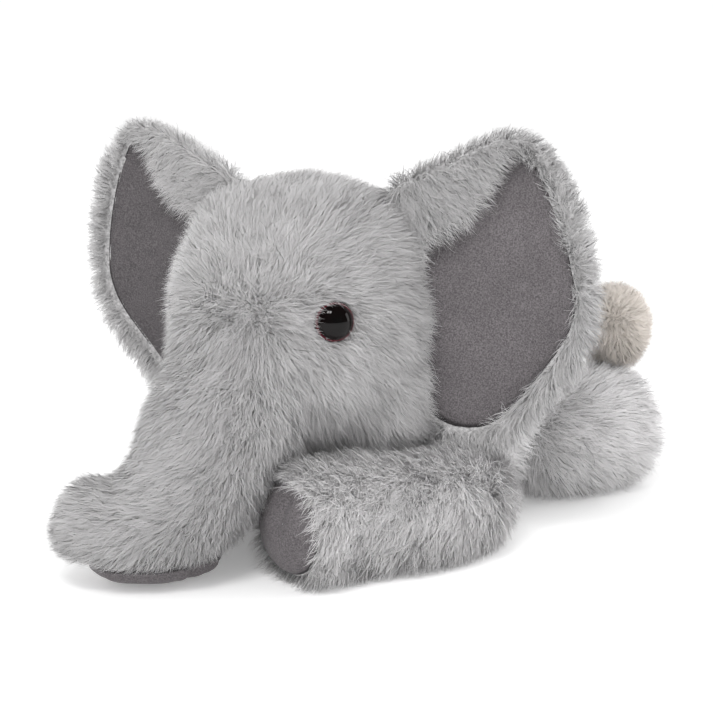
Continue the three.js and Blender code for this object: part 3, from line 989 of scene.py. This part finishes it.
def make_eye(side, material):
    """A domed button, turned about the line from the head's middle through the eye."""
    node = points_of(frame["nodes"][f"{side}_eye"].data)
    out = unit(node.mean(0) - HEAD)
    centre, radius, base, top = dome_size(node, out)
    axis_x = unit(np.cross(out, UP))
    axis_y = np.cross(out, axis_x)
    verts, faces = [], []
    for r in range(DOME_RINGS + 1):
        angle = r / DOME_RINGS * math.pi / 2
        reach, high = radius * math.cos(angle), base + (top - base) * math.sin(angle)
        for a in range(DOME_AROUND):
            turn = a / DOME_AROUND * 2 * math.pi
            way = axis_x * math.cos(turn) + axis_y * math.sin(turn)
            verts.append(centre + out * high + way * reach)
    for r in range(DOME_RINGS):
        here, above = r * DOME_AROUND, (r + 1) * DOME_AROUND
        for a in range(DOME_AROUND):
            b = (a + 1) % DOME_AROUND
            faces.append((here + a, here + b, above + b, above + a))
    faces.append(tuple(reversed(range(DOME_AROUND))))
    mesh = bpy.data.meshes.new(f"{side}_eye_dome")
    mesh.from_pydata([tuple(v) for v in verts], [], faces)
    bm = bmesh.new()
    bm.from_mesh(mesh)
    bmesh.ops.remove_doubles(bm, verts=bm.verts, dist=1e-7)
    bmesh.ops.recalc_face_normals(bm, faces=bm.faces)
    bm.to_mesh(mesh)
    bm.free()
    mesh.polygons.foreach_set("use_smooth", [True] * len(mesh.polygons))
    set_value(mesh, "ring", np.linalg.norm(np.cross(points_of(mesh) - centre, out), axis=1) / radius)
    obj = new_object(f"{side}_eye_dome", mesh)
    obj.data.materials.append(material)
    return obj


def washer_material():
    """White plastic, slightly cloudy."""
    n = Nodes("washer_plastic", Roughness=0.4)
    place = n.add("TexCoord")
    cloud = n.add("TexNoise", {"Vector": place.outputs["Object"]}, Scale=400.0, Detail=3.0)
    tone = n.ramp(cloud.outputs["Fac"], [(0.3, grey(0.74)), (0.7, grey(0.84))])
    n.link(tone.outputs["Color"], "Base Color")
    return n.material


eye_plastic = eye_material()
eye_domes = {side: make_eye(side, eye_plastic) for side in ears}
washer_plastic = washer_material()
for side in ears:
    washer = frame["nodes"][f"{side}_eye_washer"]
    washer.data.materials.clear()
    washer.data.materials.append(washer_plastic)


for obj in [face, *piles["face"]]:
    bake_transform(obj)
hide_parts("head_cover", "head_stuffing", "trunk_cover", "trunk_stuffing")
for obj in [torso, *piles["torso"]]:
    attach(obj, "body")
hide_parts("body_cover", "body_stuffing")
for leg in LEGS:
    for obj in [limbs[leg], *piles[leg]]:
        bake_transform(obj)
    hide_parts(f"{leg}_cover", f"{leg}_stuffing")
    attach(soles[leg], leg)
    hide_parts(f"{leg}_sole")
for side, ear in ears.items():
    for obj in [ear_backs[side], linings[side], *piles[f"{side}_ear"]]:
        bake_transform(obj)
    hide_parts(f"{side}_ear_back")
    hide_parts(f"{side}_ear_lining")
    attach(eye_domes[side], "head")
    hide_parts(f"{side}_eye")
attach(underside, "trunk")
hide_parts("trunk_lining")
for obj in [tail, *piles["tail"]]:
    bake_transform(obj)
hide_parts("tail_cover")
for obj in [tuft_core, *piles["tuft"]]:
    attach(obj, "tail")
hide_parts("tail_tuft")

# ---- floor, lights and camera ----
FLOOR_SIZE = 40.0
FLOOR_GREY = 0.95
FLOOR_GLOW = 0.22              # keeps the white floor white towards the horizon
half_floor = FLOOR_SIZE / 2
floor_mesh = bpy.data.meshes.new("floor")
floor_mesh.from_pydata([(-half_floor, -half_floor, 0), (half_floor, -half_floor, 0),
                        (half_floor, half_floor, 0), (-half_floor, half_floor, 0)], [], [(0, 1, 2, 3)])
floor = new_object("floor", floor_mesh)
floor_paint = Nodes("floor_paint", Roughness=1.0)
floor_paint.shader.inputs["Specular IOR Level"].default_value = 0.0
floor_paint.shader.inputs["Base Color"].default_value = grey(FLOOR_GREY)
floor_paint.shader.inputs["Emission Color"].default_value = WHITE
floor_paint.shader.inputs["Emission Strength"].default_value = FLOOR_GLOW
floor.data.materials.append(floor_paint.material)


AIM = (0.0, 0.0, 0.07)


def softbox(name, place, size, power):
    """A rectangular light that faces the toy."""
    data = bpy.data.lights.new(name, "AREA")
    data.shape = "RECTANGLE"
    data.size, data.size_y = size
    data.energy = power
    lamp = new_object(name, data)
    lamp.location = place
    lamp.rotation_euler = (Vector(AIM) - Vector(place)).to_track_quat("-Z", "Y").to_euler()


WINDOW_TURNS = {"left_window": 6, "right_window": 24}      # degrees round from straight ahead of the toy
WINDOW_RISE = 1.28             # its height for each metre out in plan
WINDOW_DISTANCE = 0.86
softbox("side", (1.0, 0.8, 0.4), (0.9, 0.7), 5)
softbox("far_side", (-1.0, 0.6, 0.5), (0.9, 0.7), 2.5)
for name, turn in WINDOW_TURNS.items():
    way = np.array([math.sin(math.radians(turn)), -math.cos(math.radians(turn)), WINDOW_RISE])
    softbox(name, tuple(np.array(AIM) + way * WINDOW_DISTANCE), (0.2, 0.28), 3.5)

WORLD_STRENGTH = 1.28
WORLD_TOP = grey(0.4)          # the world is dimmer overhead, which deepens the shade on the sides
WORLD_DIMS_FROM = 0.25
world = bpy.data.worlds.new("studio")
bpy.context.scene.world = world
world.cycles_visibility.glossy = False       # only the softboxes show in the eyes
world.use_nodes = True
sky = world.node_tree.nodes["Background"]
sky.inputs["Strength"].default_value = WORLD_STRENGTH
way_up = world.node_tree.nodes.new("ShaderNodeSeparateXYZ")
direction = world.node_tree.nodes.new("ShaderNodeTexCoord")
dim_top = world.node_tree.nodes.new("ShaderNodeValToRGB")
dim_top.color_ramp.elements[0].position = WORLD_DIMS_FROM
dim_top.color_ramp.elements[0].color = WHITE
dim_top.color_ramp.elements[1].color = WORLD_TOP
world.node_tree.links.new(direction.outputs["Generated"], way_up.inputs[0])
world.node_tree.links.new(way_up.outputs["Z"], dim_top.inputs[0])
world.node_tree.links.new(dim_top.outputs[0], sky.inputs["Color"])
bpy.context.scene.view_settings.view_transform = "Standard"

VIEW_TURN = math.radians(30.56)       # how far round towards the elephant's left the camera stands
VIEW_TILT = math.radians(12.55)       # how far it looks down
VIEW_DISTANCE = 0.6747                # in plan, from the middle of the head
VIEW_HEIGHT = 0.2187
VIEW_ASIDE = 0.0198                   # how far it stands to the right of the head's middle
VIEW_LENS = 92.3

back_way = np.array([math.sin(VIEW_TURN), -math.cos(VIEW_TURN)])
right_way = np.array([math.cos(VIEW_TURN), math.sin(VIEW_TURN)])
stand = HEAD[:2] + back_way * VIEW_DISTANCE + right_way * VIEW_ASIDE
camera_data = bpy.data.cameras.new("camera")
camera_data.lens = VIEW_LENS
camera_data.clip_start = 0.01
camera = new_object("camera", camera_data)
camera.location = (stand[0], stand[1], VIEW_HEIGHT)
camera.rotation_euler = (math.pi / 2 - VIEW_TILT, 0, VIEW_TURN)
bpy.context.scene.camera = camera
